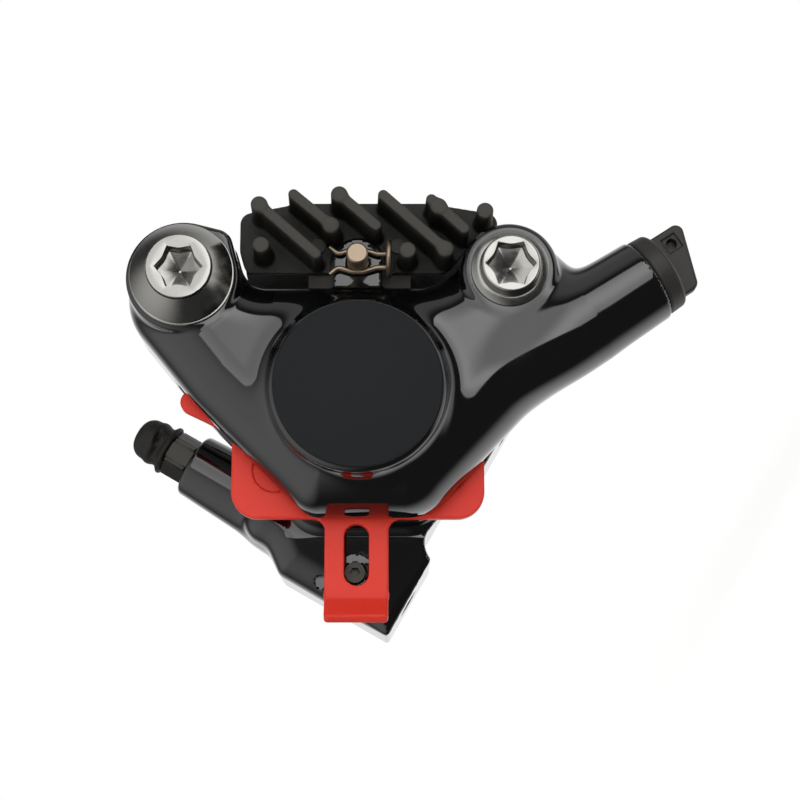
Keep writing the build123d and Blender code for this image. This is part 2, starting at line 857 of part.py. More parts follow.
def bleed_nipple():
    """Bleed screw: stem, hexagon and barbed spout, bored through."""
    low = bleed_tube_top - bleed_bore_depth
    hex_low = bleed_tube_top + nipple_collar_gap
    hex_high = hex_low + nipple_hex_t
    barb = hex_high + nipple_neck
    top = barb + nipple_barb
    solid = turned([
        (0, low),
        (nipple_bore_r, low),
        (nipple_r, low + nipple_seat),
        (nipple_r, hex_low),
        (nipple_neck_r, hex_low),
        (nipple_neck_r, barb),
        (nipple_barb_r, barb),
        (nipple_neck_r, top),
        (0, top),
    ])
    solid += prism(RegularPolygon(nipple_hex / 2, 6, major_radius=False), hex_low, hex_high)
    bore = rod((0, 0, low + nipple_seat), (0, 0, top + overrun), nipple_bore_r)
    cross = rod((-nipple_r * 2, 0, low + nipple_seat), (nipple_r * 2, 0, low + nipple_seat), nipple_bore_r)
    return Pos(bleed_x, 0, 0) * (solid - bore - cross)


def bleed_cap():
    """Rubber dust cap on the nipple, with a rib at its mouth and a pull tag."""
    low = bleed_tube_top + nipple_collar_gap + nipple_hex_t + cap_gap
    barb = low - cap_gap + nipple_neck
    top = barb + nipple_barb
    cap = drum(0, 0, cap_r, low, top + cap_crown_t, cap_round)
    cap += drum(0, 0, cap_rib_r, low, low + cap_rib_t, 0)
    tag = strap((0, 0), (-cap_r - cap_tag_length + cap_tag_width / 2, 0), cap_tag_width / 2, low, low + cap_tag_t)
    cap += tag
    room = turned([
        (0, low - overrun),
        (nipple_barb_r + cap_gap, low - overrun),
        (nipple_barb_r + cap_gap, barb + cap_gap),
        (nipple_neck_r + cap_gap, top + cap_gap),
        (0, top + cap_gap),
    ])
    return Pos(bleed_x, 0, 0) * (cap - room)


def pad_spacer():
    """Transit spacer: a dished blade between the pads, two wings, and a slotted handle with a lip."""
    corner = spacer_corner
    step = spacer_step_r
    fillet_r = handle_fillet
    low = handle_end + handle_corner
    face = belt([
        (spacer_left + corner, spacer_low + corner, corner),
        (handle_left - fillet_r, spacer_low - fillet_r, -fillet_r),
        (handle_left + handle_corner, low, handle_corner),
        (handle_right - handle_corner, low, handle_corner),
        (handle_right + fillet_r, spacer_low - fillet_r, -fillet_r),
        (spacer_right - corner, spacer_low + corner, corner),
        (spacer_right - step, spacer_shoulder - step, step),
        (spacer_neck_half + step, spacer_shoulder + step, -step),
        (spacer_neck_half - step, spacer_high - step, step),
        (step - spacer_neck_half, spacer_high - step, step),
        (-spacer_neck_half - step, spacer_shoulder + step, -step),
        (spacer_left + step, spacer_shoulder - step, step),
    ])
    spacer = prism(face, -spacer_half, spacer_half)
    for side in (-1, 1):
        root = (side * (spacer_right - corner), wing_root_v)
        spacer += strap(root, (side * wing_u, wing_v), wing_tip_r, -spacer_half, spacer_half)
        edge = spacer_right if side > 0 else -spacer_left
        dish_u = side * (edge - dish_inset)
        dish = strap((dish_u, dish_low), (dish_u, dish_high), dish_r, spacer_half - dish_depth, disc_w)
        spacer -= dish + flip(dish)
    spacer -= strap((slot_u, slot_top - slot_r), (slot_u, slot_end + slot_r), slot_r, -disc_w, disc_w)
    half_window = window_width / 2
    middle = slot_u + (handle_left + handle_right) / 2
    spacer -= block(
        (middle - half_window, window_v - window_height / 2, -disc_w),
        (middle + half_window, window_v + window_height / 2, disc_w),
    )
    width = handle_right - handle_left
    lip = block((0, -lip_length, -lip_t / 2), (width, handle_corner, lip_t / 2))
    return spacer + Pos(handle_left, handle_end, 0) * Rot(X=-lip_turn) * lip


def pads(side):
    """Names and solids of one pad and its piston, on one side of the rotor."""
    turn = flip if side == "outboard" else lambda solid: solid
    made = {"piston": piston(), "piston_seal": piston_seal(), "pad_plate": pad_plate(),
            "pad_lining": pad_lining(), "radiator": radiator(), "radiator_rivets": radiator_rivets()}
    return {f"{side}_{name}": rotor_plane * turn(solid) for name, solid in made.items()}


pieces = {
    "inboard_body": rotor_plane * inboard_body(),
    "outboard_body": outboard_body(),
    "upper_body_bolt": rotor_plane * upper_body_bolt(),
    "upper_bolt_washer": rotor_plane * upper_bolt_washer(),
    "front_body_bolt": rotor_plane * front_body_bolt(),
    "passage_ring": rotor_plane * passage_ring(),
    "passage_screw": rotor_plane * passage_screw(),
    "pad_spring": rotor_plane * pad_spring(),
    "pad_axle": rotor_plane * pad_axle(),
    "axle_clip": rotor_plane * axle_clip(),
    "hose_plug": rotor_plane * hose_plug(),
    "bleed_nipple": bleed_nipple(),
    "bleed_cap": bleed_cap(),
    "pad_spacer": rotor_plane * pad_spacer(),
}
for side in ("inboard", "outboard"):
    pieces.update(pads(side))

os.makedirs("parts", exist_ok=True)
for name, solid in pieces.items():
    export_step(solid, f"parts/{name}.step")
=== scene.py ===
from math import acos, atan2, cos, hypot, pi, radians, sin

import bpy
import numpy as np
from mathutils import Matrix


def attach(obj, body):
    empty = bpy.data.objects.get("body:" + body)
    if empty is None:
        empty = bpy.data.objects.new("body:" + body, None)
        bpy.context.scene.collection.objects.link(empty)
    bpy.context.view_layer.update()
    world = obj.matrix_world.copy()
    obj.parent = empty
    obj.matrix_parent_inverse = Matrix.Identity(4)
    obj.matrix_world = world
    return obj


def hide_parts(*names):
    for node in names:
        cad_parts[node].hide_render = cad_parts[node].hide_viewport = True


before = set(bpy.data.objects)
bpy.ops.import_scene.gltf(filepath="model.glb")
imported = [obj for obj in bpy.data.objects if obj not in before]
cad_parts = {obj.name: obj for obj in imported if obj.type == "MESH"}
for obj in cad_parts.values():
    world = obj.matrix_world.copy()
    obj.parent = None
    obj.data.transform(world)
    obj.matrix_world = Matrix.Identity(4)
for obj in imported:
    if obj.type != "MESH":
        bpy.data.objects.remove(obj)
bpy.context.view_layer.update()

# Dressed model of a two-piece disc brake caliper. Lengths are written in millimetres and become
# metres where a mesh is made. Most shapes are drawn in the rotor frame, as the part's source does:
# u and v lie in the rotor's middle plane with the piston axis at their origin, v points away from
# the hub and w points inboard, towards the camera.
mm = 0.001
across = np.array([cos(radians(60)), 0, -sin(radians(60))])
outward = np.array([sin(radians(60)), 0, cos(radians(60))])
inboard = np.array([0, -1, 0])
rotor_axes = np.stack([across, outward, inboard])
rotor_centre = np.array([6, -15, 22.8])

# Rotor slot, pad pocket and bore
slot_half, slot_r, hub_drop = 2.4, 71.5, 61
pocket_half, pocket_bottom, pocket_w = 12.9, 11.1, 5.9
bore_r, bore_w = 11.05, 14.65

# Ears, ridge, hose tube and boss
upper_ear = (-28.4, 18.55, 9.25)
upper_corner = (-23.3, 23.7, 3)
front_ear = (24.4, 19.65, 8)
front_corner = (26.2, 21.6, 6.6)
tube_end, tube_w, tube_r = np.array([47.2, 19.4]), 7.6, 7.1
tube_angle = atan2(15.25, 23.5)
tube_along = np.array([cos(tube_angle), sin(tube_angle)])
web_w, web_roll = 13.3, 9.3
disc_r, disc_w, boss_r, boss_w = 13.4, 17, 14, 16.4
saddle_v = 18.8
axle_u, axle_v = -0.25, 22.4
clip_left, clip_right, clip_side, clip_w = 5.35, 5.85, 3.05, 8
clamp_hole_r = 3.2

# Foot: mounting holes, bleed tube and the screw plug's seat
mount_x, mount_r = 17, 2.1
bleed_x, bleed_bore_r = -14.7, 3
screw_seat = (-0.8, -27)

# Radiators: left edge, bottom edge, width and height, then the ribs' ends and the posts as shares
radiator_left, radiator_bottom, radiator_width, radiator_height = -19.8, 20.9, 42.6, 12.1
rib_shares = [
    ((0.085, 0.79), (0.303, 0.10)),
    ((0.216, 0.93), (0.36, 0.496)),
    ((0.39, 0.93), (0.53, 0.496)),
    ((0.558, 0.92), (0.793, 0.165)),
    ((0.741, 0.86), (0.865, 0.45)),
]
post_shares = [
    (0.085, 0.79), (0.36, 0.496), (0.39, 0.93), (0.793, 0.165), (0.769, 0.76),
    (0.945, 0.70), (0.095, 0.223), (0.65, 0.15),
]


# Distance fields: each gives the distance from a surface, negative inside it

def belt(u, v, circles):
    """Distance from the outline that runs anticlockwise round circles (u, v, radius) on tangent
    lines. Each arc answers for the points in its wedge and each line for the points beside it, and
    the nearest answer counts. A negative radius is a hollow that the outline bends round."""
    normals = []
    for (a, b, r), (c, d, s) in zip(circles, circles[1:] + circles[:1]):
        normals.append(atan2(d - b, c - a) - acos((r - s) / hypot(c - a, d - b)))
    best = np.full(np.broadcast(u, v).shape, 1e3)
    for index, (a, b, r) in enumerate(circles):
        start, end = normals[index - 1], normals[index]
        turn = (end - start) % (2 * pi)
        low, turn = (start, turn) if r > 0 else (end + pi, 2 * pi - turn)
        wedge = (np.arctan2(v - b, u - a) - low) % (2 * pi) <= turn
        arc = (np.hypot(u - a, v - b) - abs(r)) * (1 if r > 0 else -1)
        best = np.where(wedge & (abs(arc) < abs(best)), arc, best)
        c, d, s = circles[(index + 1) % len(circles)]
        out = cos(end), sin(end)
        first = a + r * out[0], b + r * out[1]
        run = c + s * out[0] - first[0], d + s * out[1] - first[1]
        length = hypot(*run)
        ahead = ((u - first[0]) * run[0] + (v - first[1]) * run[1]) / length
        side = (u - first[0]) * out[0] + (v - first[1]) * out[1]
        best = np.where((ahead >= 0) & (ahead <= length) & (abs(side) < abs(best)), side, best)
    return best


def blunt(a, b, edge):
    """What two shapes share, with the corner between their surfaces rounded: the distance from the
    quarter plane of both distances, drawn in by the edge radius and grown back."""
    a, b = a + edge, b + edge
    return np.minimum(np.maximum(a, b), 0) + np.hypot(np.maximum(a, 0), np.maximum(b, 0)) - edge


def slab(flat, w, low, high, edge):
    """Plate between two heights over a flat distance, with its rims rounded."""
    return blunt(flat, abs(w - (low + high) / 2) - (high - low) / 2, edge)


def melt(a, b, reach):
    """Union with a soft fillet: the lesser distance, less a cubic bump where the two are nearly
    the same, so that a weld of about the reach rounds the corner between them."""
    near = np.maximum(reach - abs(a - b), 0) / reach
    return np.minimum(a, b) - near**3 * reach / 6


def carve(a, b, reach=0.3):
    """What is left of one shape when another is cut out of it, with the new edges broken a little."""
    return -melt(-a, b, reach)


def box(u, v, w, low, high):
    """Distance from a box between two opposite corners, by its farthest face."""
    faces = [abs(x - (a + b) / 2) - (b - a) / 2 for x, a, b in zip((u, v, w), low, high)]
    return np.maximum(np.maximum(faces[0], faces[1]), faces[2])


def stud(u, v, w, centre, radius, low, high, edge=0.0):
    """Upright round stud with rounded rims."""
    return slab(np.hypot(u - centre[0], v - centre[1]) - radius, w, low, high, edge)


def strap(u, v, start, end, radius):
    """Flat distance from a round-ended bar between two points."""
    return belt(u, v, [(*start, radius), (*end, radius)])


def rod(u, v, w, start, end, radius):
    """Distance from a round bar with flat ends between two points in space."""
    start, end = np.array(start, float), np.array(end, float)
    length = np.linalg.norm(end - start)
    along = (end - start) / length
    ahead = (u - start[0]) * along[0] + (v - start[1]) * along[1] + (w - start[2]) * along[2]
    from_start = (u - start[0]) ** 2 + (v - start[1]) ** 2 + (w - start[2]) ** 2
    radial = np.sqrt(np.maximum(from_start - ahead**2, 0)) - radius
    return np.maximum(radial, abs(ahead - length / 2) - length / 2)


# Meshes

segments = 144


def to_part(points):
    """Rotor frame in millimetres to part frame in metres."""
    return mm * (points @ rotor_axes + rotor_centre)


def slope(field, points, step=0.02):
    """Unit normals of a field at points, from its differences across a small step each way."""
    sides = [field(*(points + step * move).T) - field(*(points - step * move).T) for move in np.eye(3)]
    out = np.stack(sides, axis=1)
    return out / np.maximum(np.linalg.norm(out, axis=1, keepdims=True), 1e-9)


def skin(field, low, high, pitch):
    """Surface where a field is zero. Each grid edge that the field crosses gives a point and a
    tangent plane; each cell that holds such edges gets one vertex, at the least-squares meeting of
    its planes, held towards their middle; each crossed edge gets a quad between its four cells.
    Corners take the vertex's own normal, or the quad's where an edge of the shape is sharp."""
    low = np.array(low, float)
    counts = [int(np.ceil((b - a) / pitch)) + 1 for a, b in zip(low, high)]
    lines = [low[axis] + pitch * np.arange(counts[axis]) for axis in range(3)]
    value = np.broadcast_to(field(*np.meshgrid(*lines, indexing="ij", sparse=True)), counts)
    owners, places, rounds = [], [], []
    for axis in range(3):
        step, one, two = np.roll(np.eye(3, dtype=int), -axis, axis=0)
        reach = np.array(counts) - step
        first = value[:reach[0], :reach[1], :reach[2]]
        second = value[step[0]:, step[1]:, step[2]:]
        index = np.argwhere((first < 0) != (second < 0))
        inner = (index >= one + two).all(axis=1) & (index < np.array(counts) - 1).all(axis=1)
        index = index[inner]
        a, b = first[tuple(index.T)], second[tuple(index.T)]
        places.append(low + pitch * (index + (a / (a - b))[:, None] * step))
        ring = index[:, None] - np.stack([one * 0, one, one + two, two])
        numbers = np.ravel_multi_index(np.moveaxis(ring, 2, 0), counts)
        owners.append(numbers)
        rounds.append(np.where((a < 0)[:, None], numbers, numbers[:, ::-1]))
    owners, places, rounds = (np.concatenate(part) for part in (owners, places, rounds))
    cells, vertex = np.unique(owners, return_inverse=True)
    vertex = vertex.reshape(owners.shape)
    normals = slope(field, places)

    def gathered(rows):
        owner = vertex.ravel()
        return np.stack([np.bincount(owner, np.repeat(row, 4), len(cells)) for row in rows.T], axis=1)

    number = np.bincount(vertex.ravel(), minlength=len(cells))[:, None]
    middle = gathered(places) / number
    pairs = gathered((normals[:, :, None] * normals[:, None]).reshape(-1, 9)).reshape(-1, 3, 3)
    target = gathered(normals * (normals * places).sum(axis=1, keepdims=True))
    missing = target - (pairs @ middle[:, :, None])[:, :, 0]
    hold = 0.08 * number[:, :, None] * np.eye(3)
    moved = np.linalg.solve(pairs + hold, missing[:, :, None])[:, :, 0]
    corner = low + pitch * np.stack(np.unravel_index(cells, counts), axis=1)
    points = np.clip(middle + moved, corner, corner + pitch)
    quads = np.searchsorted(cells, rounds)
    smooth, flat = slope(field, points), slope(field, points[quads].mean(axis=1))
    alike = (smooth[quads] * flat[:, None]).sum(axis=2) > cos(radians(24))
    loops = np.where(alike[:, :, None], smooth[quads], flat[:, None])
    return points, quads, loops.reshape(-1, 3)


def piece(name, points, faces, material, body, stands_for=(), loops=None, smooth=True):
    """Blender object from vertices in part-frame metres and faces, riding on a body."""
    mesh = bpy.data.meshes.new(name)
    mesh.from_pydata(points.tolist(), [], faces.tolist() if hasattr(faces, "tolist") else faces)
    mesh.update()
    mesh.shade_smooth() if smooth else mesh.shade_flat()
    if loops is not None:
        mesh.normals_split_custom_set(loops.tolist())
    made = bpy.data.objects.new(name, mesh)
    bpy.context.scene.collection.objects.link(made)
    made.data.materials.append(material)
    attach(made, body)
    if stands_for:
        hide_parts(*stands_for)
    return made


def moulded(name, field, low, high, pitch, material, body, stands_for=()):
    """Piece whose surface is the zero of a field in the rotor frame."""
    points, quads, loops = skin(field, low, high, pitch)
    return piece(name, to_part(points), quads, material, body, stands_for, loops @ rotor_axes)


def revolved(name, profile, material, body, stands_for=(), axes=rotor_axes, centre=rotor_centre,
             shape=None, sharp=30):
    """Piece turned from a profile of (radius, height), which starts and ends on the axis and runs
    up its outer side. One parameter of the grid runs along the profile and the other round the
    axis. A shape function may give the radius from the angle and the rows. Points that coincide,
    such as a pole's, become one, and edges sharper than an angle stay hard."""
    rows = np.array(profile, float)
    angle = 2 * pi * np.arange(segments) / segments
    radius = np.repeat(rows[:, :1], segments, axis=1)
    if shape is not None:
        radius = shape(angle[None], rows[:, :1], rows[:, 1:])
    height = np.repeat(rows[:, 1:], segments, axis=1)
    grid = np.stack([radius * np.cos(angle), radius * np.sin(angle), height], axis=2)
    world = mm * (grid.reshape(-1, 3) @ axes + centre)
    i, j = np.meshgrid(np.arange(len(rows) - 1) * segments, np.arange(segments), indexing="ij")
    after = (j + 1) % segments
    faces = np.stack([i + j, i + after, i + segments + after, i + segments + j], axis=2)
    world, merged = np.unique(np.round(world, 9), axis=0, return_inverse=True)
    faces = [list(dict.fromkeys(face)) for face in merged.reshape(-1)[faces.reshape(-1, 4)].tolist()]
    made = piece(name, world, [face for face in faces if len(face) > 2], material, body, stands_for)
    made.data.set_sharp_from_angle(angle=radians(sharp))
    return made


def arc(centre, radius, start, stop, steps=7):
    """Points on an arc of a profile, from one angle in degrees to another."""
    turn = np.radians(np.linspace(start, stop, steps))
    return [(centre[0] + radius * cos(a), centre[1] + radius * sin(a)) for a in turn]


# Materials

def linear(text):
    """Linear colour from an sRGB hex value."""
    values = [int(text[i:i + 2], 16) / 255 for i in (1, 3, 5)]
    return (*[x / 12.92 if x <= 0.04045 else ((x + 0.055) / 1.055) ** 2.4 for x in values], 1)


def add(tree, kind, inputs=None, **settings):
    """Add a node with its settings; each input takes a plain value or another node's output."""
    made = tree.nodes.new(kind)
    for key, value in settings.items():
        setattr(made, key, value)
    for key, value in (inputs or {}).items():
        if isinstance(value, bpy.types.NodeSocket):
            tree.links.new(value, made.inputs[key])
        else:
            made.inputs[key].default_value = value
    return made


def finish(name, colour, second, grain, rough, rough_swing=0.05, bump=0.02, depth=0.02,
           stretch=(1, 1, 1), **sockets):
    """Material of two near colours in a cloud of a given grain in millimetres, whose roughness
    swings with the same cloud and whose relief is that grain at a given depth in millimetres."""
    made = bpy.data.materials.new(name)
    made.use_nodes = True
    tree = made.node_tree
    shader = tree.nodes["Principled BSDF"]
    place = add(tree, "ShaderNodeTexCoord").outputs["Object"]
    spread = add(tree, "ShaderNodeMapping", {"Vector": place, "Scale": stretch}).outputs["Vector"]
    cloud = add(tree, "ShaderNodeTexNoise", {"Vector": spread, "Scale": 1 / (grain * mm), "Detail": 3.0})
    value = cloud.outputs["Fac"]
    tones = {"Factor": value, "A": linear(colour), "B": linear(second)}
    tint = add(tree, "ShaderNodeMix", tones, data_type="RGBA")
    sheen = add(tree, "ShaderNodeMapRange", {
        "Value": value, "From Min": 0.3, "From Max": 0.7,
        "To Min": rough - rough_swing, "To Max": rough + rough_swing,
    })
    relief = add(tree, "ShaderNodeBump", {"Height": value, "Strength": bump, "Distance": depth * mm})
    tree.links.new(tint.outputs["Result"], shader.inputs["Base Color"])
    tree.links.new(sheen.outputs["Result"], shader.inputs["Roughness"])
    tree.links.new(relief.outputs["Normal"], shader.inputs["Normal"])
    for key, setting in sockets.items():
        shader.inputs[key.replace("_", " ")].default_value = setting
    return made


# Gloss black stove enamel on forged aluminium: nearly flat, so it mirrors the studio in soft shapes
gloss_enamel = finish("gloss_black_enamel", "#08090A", "#0B0C0D", 2.5, 0.07, 0.02, 0.15, 0.01,
                      Specular_IOR_Level=1.0, Coat_Weight=0.2, Coat_Roughness=0.03)
# Matt navy-black paint on the turned cylinder cap: a fine dead grain without mirror images
matt_paint = finish("matt_navy_paint", "#17191C", "#1B1D20", 0.25, 0.6, 0.05, 0.3, 0.02,
                    Specular_IOR_Level=0.25)
# Coarse matt coating on die-cast radiator aluminium: grainy and dull grey-brown, with painted shade below its
# upper faces
radiator_coat = finish("radiator_coating", "#3B3934", "#47443E", 0.35, 0.62, 0.06, 0.5, 0.05)
coat = radiator_coat.node_tree
tone = coat.nodes["Principled BSDF"].inputs["Base Color"]
# Painted shade: the coat keeps its grey-brown on the ribs' tops, 12 to 14 mm from the rotor's plane, and is
# darkened to near black below, where shade falls between the ribs
position = add(coat, "ShaderNodeTexCoord").outputs["Object"]
depth = add(coat, "ShaderNodeSeparateXYZ", {0: position}).outputs["Y"]
depth = add(coat, "ShaderNodeMath", {0: depth, 1: 15 * mm}, operation="ADD").outputs["Value"]
depth = add(coat, "ShaderNodeMath", {0: depth}, operation="ABSOLUTE").outputs["Value"]
reaches = {"Value": depth, "From Min": 12 * mm, "From Max": 13.9 * mm}
top = add(coat, "ShaderNodeMapRange", reaches).outputs["Result"]
# Painted shade: below the ribs' tops the colour mixes to a near-black brown
shades = {"Factor": top, "A": linear("#1C1B19"), "B": tone.links[0].from_socket}
painted_shade = add(coat, "ShaderNodeMix", shades, data_type="RGBA")
coat.links.new(painted_shade.outputs["Result"], tone)
# Turned and polished stainless steel: a bright mirror with the finest turning haze
polished_steel = finish("polished_steel", "#A6A5A1", "#B0AFAA", 0.8, 0.21, 0.03, 0.08, 0.005, Metallic=1.0)
# Nickel-plated spring steel of the axle and its clip: warm satin
satin_nickel = finish("satin_nickel", "#A6937F", "#B5A38F", 0.4, 0.42, 0.05, 0.2, 0.01, Metallic=1.0)
# Phosphated steel of the pad backs: dark grey, dull
phosphated_steel = finish("phosphated_steel", "#2E2D2B", "#3A3836", 0.3, 0.5, 0.06, 0.3, 0.02, Metallic=0.6)
# Rivets under the same coat as the radiators
coated_rivet = finish("coated_rivet", "#242321", "#302E2B", 0.3, 0.5, 0.05, 0.2, 0.01)
# Rolled leaf-spring steel, drawn along the leaf
spring_steel = finish("rolled_spring_steel", "#A8A8A6", "#B6B6B3", 0.5, 0.26, 0.05, 0.1, 0.01,
                      (1, 6, 1), Metallic=1.0)
# Resin friction lining: coarse, dusty brown-black with pale specks
friction_lining = finish("resin_lining", "#2A241F", "#4A4036", 0.5, 0.85, 0.05, 0.8, 0.1)
# Glazed ceramic pistons: smooth ivory
ceramic = finish("glazed_ceramic", "#DAD5C8", "#E2DDD1", 3.0, 0.25, 0.03, 0.05, 0.01)
# Moulded rubber: soft black that scatters light evenly
rubber = finish("moulded_rubber", "#1E1D1B", "#262422", 0.5, 0.62, 0.06, 0.3, 0.02, Specular_IOR_Level=0.4)
# Glass-filled nylon of the transit plug: fine dull grain
nylon = finish("glass_filled_nylon", "#2B2926", "#32302C", 0.3, 0.5, 0.05, 0.35, 0.02)
# Red polypropylene of the transit spacer: satin, slightly see-through at its rims
red_plastic = finish("red_polypropylene", "#EE3A2C", "#F44332", 4.0, 0.42, 0.04, 0.05, 0.01,
                     Specular_IOR_Level=0.3, Subsurface_Weight=0.15, Subsurface_Scale=0.001)
# Black-oxide steel of the bleed screw and the passage screw: dark satin metal
black_oxide = finish("black_oxide_steel", "#3A3835", "#464440", 0.4, 0.34, 0.05, 0.15, 0.01, Metallic=1.0)


# Body halves

def saddle_hollow(ear, radius, side):
    """Hollow that rounds the corner between an ear and the straight saddle."""
    reach, rise = ear[2] + radius + 0.3, saddle_v + radius - ear[1]
    return (ear[0] + side * (reach**2 - rise**2) ** 0.5, saddle_v + radius, -radius)


def beside_tube(back, side):
    """Point back from the hose tube's end and to the upper side of its axis."""
    return tuple(tube_end - back * tube_along + side * np.array([-tube_along[1], tube_along[0]]))


knees = [(-6.1, -13.7, 5.5), (7.6, -10.5, 8.7)]
tube_side = [(*beside_tube(25.2, -27.1), -20), (*beside_tube(13, 0), 6), front_corner]
ears = [
    front_ear, saddle_hollow(front_ear, 9, -1), saddle_hollow(upper_corner, 5, 1), upper_corner, upper_ear,
    (-28, 16.8, 10.1), (-18, 7.5, 12),
]


def clip_room(u, v, w):
    """Room round the axle's head and its clip, with a deeper groove for the clip's ring."""
    right = axle_u + clip_right
    wire = box(u, v, w, (axle_u - clip_left, axle_v - clip_side, clip_w), (right, axle_v + clip_side, 40))
    ring = box(u, v, w, (axle_u + 4.35, axle_v - 3.5, 6.55), (right, axle_v + 3.5, 40))
    return np.minimum(np.minimum(wire, ring), stud(u, v, w, (axle_u, axle_v), 3.2, clip_w, 40))


def hollows(shape, u, v, w):
    """Cuts that both halves share, on the side where w is positive: rotor slot, pocket, bore and
    the axle's hole with the room for its head or clip."""
    shape = carve(shape, np.maximum(np.hypot(u, v + hub_drop) - slot_r, w - slot_half), 0.6)
    pocket = box(u, v, w, (-pocket_half, -pocket_bottom, -2), (pocket_half, 2 * axle_v, pocket_w))
    shape = carve(shape, pocket, 0.5)
    shape = carve(shape, stud(u, v, w, (0, 0), bore_r, -2, bore_w))
    shape = carve(shape, stud(u, v, w, (axle_u, axle_v), 1.8, -2, 10))
    return carve(shape, clip_room(u, v, w))


def half(u, v, w, outline, top, edge):
    """Slab rolled off to its outline, with the cylinder boss welded to it, and the axle's lug."""
    shape = slab(belt(u, v, outline), w, -20, top, edge)
    boss = stud(u, v, w, (0, 0), boss_r, -20, boss_w, 1)
    shape = melt(shape, boss, 5)
    lug = strap(u, v, (axle_u, axle_v), (axle_u, saddle_v - 2.1), 3.9)
    return melt(shape, slab(lug, w, 6.3, 8, 0.3), 1.2)


def inboard_half(u, v, w):
    """Half on the wheel's side: a high slab with a wide roll round its rim, the boss, the hose
    tube, which swells a little and then sinks into the slab, and both ears."""
    shape = half(u, v, w, knees + tube_side + ears, web_w, web_roll)
    back = (tube_end[0] - u) * tube_along[0] + (tube_end[1] - v) * tube_along[1]
    aside = (v - tube_end[1]) * tube_along[0] - (u - tube_end[0]) * tube_along[1]
    swell = tube_r + 0.45 * np.clip(back / 12, 0, 1) - 0.012 * np.maximum(back - 15, 0) ** 2
    tube = np.hypot(aside, w - tube_w) - swell
    shape = melt(shape, slab(tube, back, 0, 60, 0.5), 4)
    ear = slab(belt(u, v, [(*upper_ear[:2], 9.15), (*upper_corner[:2], 2.9)]), w, -20, 13.6, 1.2)
    shape = melt(shape, ear, 1.5)
    shape = melt(shape, stud(u, v, w, front_ear, 7.9, -20, 13.3, 1.2), 1.5)
    shape = hollows(shape, u, v, w)
    shape = carve(shape, stud(u, v, w, upper_ear, 9.2, 13.6, 30), 0.9)
    for ear in (upper_ear, front_ear):
        shape = carve(shape, stud(u, v, w, ear, clamp_hole_r, -2, 20))
    bottom = tube_end - 12 * tube_along
    shape = carve(shape, rod(u, v, w, (*bottom, tube_w), (*(tube_end + 2 * tube_along), tube_w), 4.2))
    return np.maximum(shape, -w)


def outboard_half(u, v, w):
    """Half on the frame's side, with its heights turned over: slab and boss, both ears, the foot
    as a side profile crossed with an end profile, and the tapered bleed tube."""
    w = -w
    x = 6 + 0.5 * u + sin(radians(60)) * v
    z = 22.8 - sin(radians(60)) * u + 0.5 * v
    y = w - 15
    shape = half(u, v, w, knees + ears, 10.5, 5)
    shape = melt(shape, stud(u, v, w, upper_ear, 9.15, -20, 13, 1.2), 1)
    shape = melt(shape, stud(u, v, w, front_ear, 7.9, -20, 13, 1.2), 2.5)
    side = belt(x, z, [
        (-23.2, 0.8, 0.8), (22.7, 0.8, 0.8), (19.5, 12, 4), (6, 22.8, 12), (-17.4, 27.4, 3.8),
        (-24.6, 26.3, -3.4), (-21.5, 20.4, 2.6),
    ])
    end = belt(y, z, [(-8.9, 0.6, 0.6), (8.88, 0.6, 0.6), (0.5, 26, 8.98), (-8.9, 34.4, 0.6)])
    foot = carve(side, -end, 1.2)
    lean = (-y - 9.5 + 0.22 * np.maximum(-21.5 - v, 0)) / 1.02
    roll = 0.9 + 3.9 * np.clip((-x - 10) / 8, 0, 1) * np.clip(z / 7, 0.15, 1)
    foot = np.maximum(foot, blunt(side, lean, roll))
    foot = carve(foot, belt(x, z, [(-5.6, -1, 4), (4.5, -1, 4)]), 0.8)
    shape = melt(shape, foot, 3.5)
    from_bleed = np.hypot(x - bleed_x, y)
    barrel = from_bleed - 6.9 + 1.4 * np.clip((z - 20.5) / 24, 0, 1)
    shape = melt(shape, slab(barrel, z, 18, 44.5, 0.8), 3)
    shape = hollows(shape, u, v, w)
    for a, b, _ in (upper_ear, front_ear):
        shape = carve(shape, stud(u, v, w, (a, b), 3.05, -2, 11.6))
    shape = carve(shape, stud(u, v, w, screw_seat, 3.1, 0, 6.3), 0.4)
    shape = carve(shape, stud(u, v, w, screw_seat, 1.75, 0, 9.4), 0.4)
    shape = carve(shape, stud(u, v, w, (-6.5, -28.3), 1, 0, 9), 0.4)
    for place in (-mount_x, mount_x):
        from_hole = np.hypot(x - place, y)
        shape = carve(shape, np.maximum(from_hole - mount_r, z - 12))
        shape = carve(shape, (from_hole + z - mount_r - 0.5) / 2**0.5)
    shape = carve(shape, np.maximum(from_bleed - bleed_bore_r, 34 - z))
    return np.maximum(shape, -w)


moulded("inboard_half", inboard_half, (-40.5, -21.5, -0.6), (52.5, 31, 18), 0.42, gloss_enamel, "body",
        ["inboard_body"])
moulded("outboard_half", outboard_half, (-42, -42, -26), (36, 31, 0.6), 0.46, gloss_enamel, "body",
        ["outboard_body"])


def cap_disc(name, side):
    """Turned cap of a cylinder: a flat matt disc with a broken edge, let into the boss."""
    low, edge = 15, 0.25
    rim = arc((disc_r - edge, disc_w - edge), edge, 0, 90, 4)
    rows = [(0, low), (disc_r, low), (disc_r, disc_w - edge), *rim, (0, disc_w)]
    axes = np.array([across, side * outward, side * inboard])
    revolved(name, rows, matt_paint, "body", axes=axes)


cap_disc("inboard_cap_disc", 1)
cap_disc("outboard_cap_disc", -1)


# Clamp bolts and washer

def at_ear(ear):
    """Centre of a turned piece on an ear, in the part frame."""
    return np.array([*ear[:2], 0]) @ rotor_axes + rotor_centre


def drive(rim, low, high):
    """Shape function of a six-lobe recess: between two heights, and inside the rim, the radius
    swings six times a turn by a fifth, so that pointed lobes meet broad round ribs."""
    def radius(angle, rows, heights):
        wave = 1 - 0.2 * abs(np.sin(3 * angle))
        inside = (rows < rim) & (heights > low) & (heights <= high)
        return rows * np.where(inside, wave, 1)
    return radius


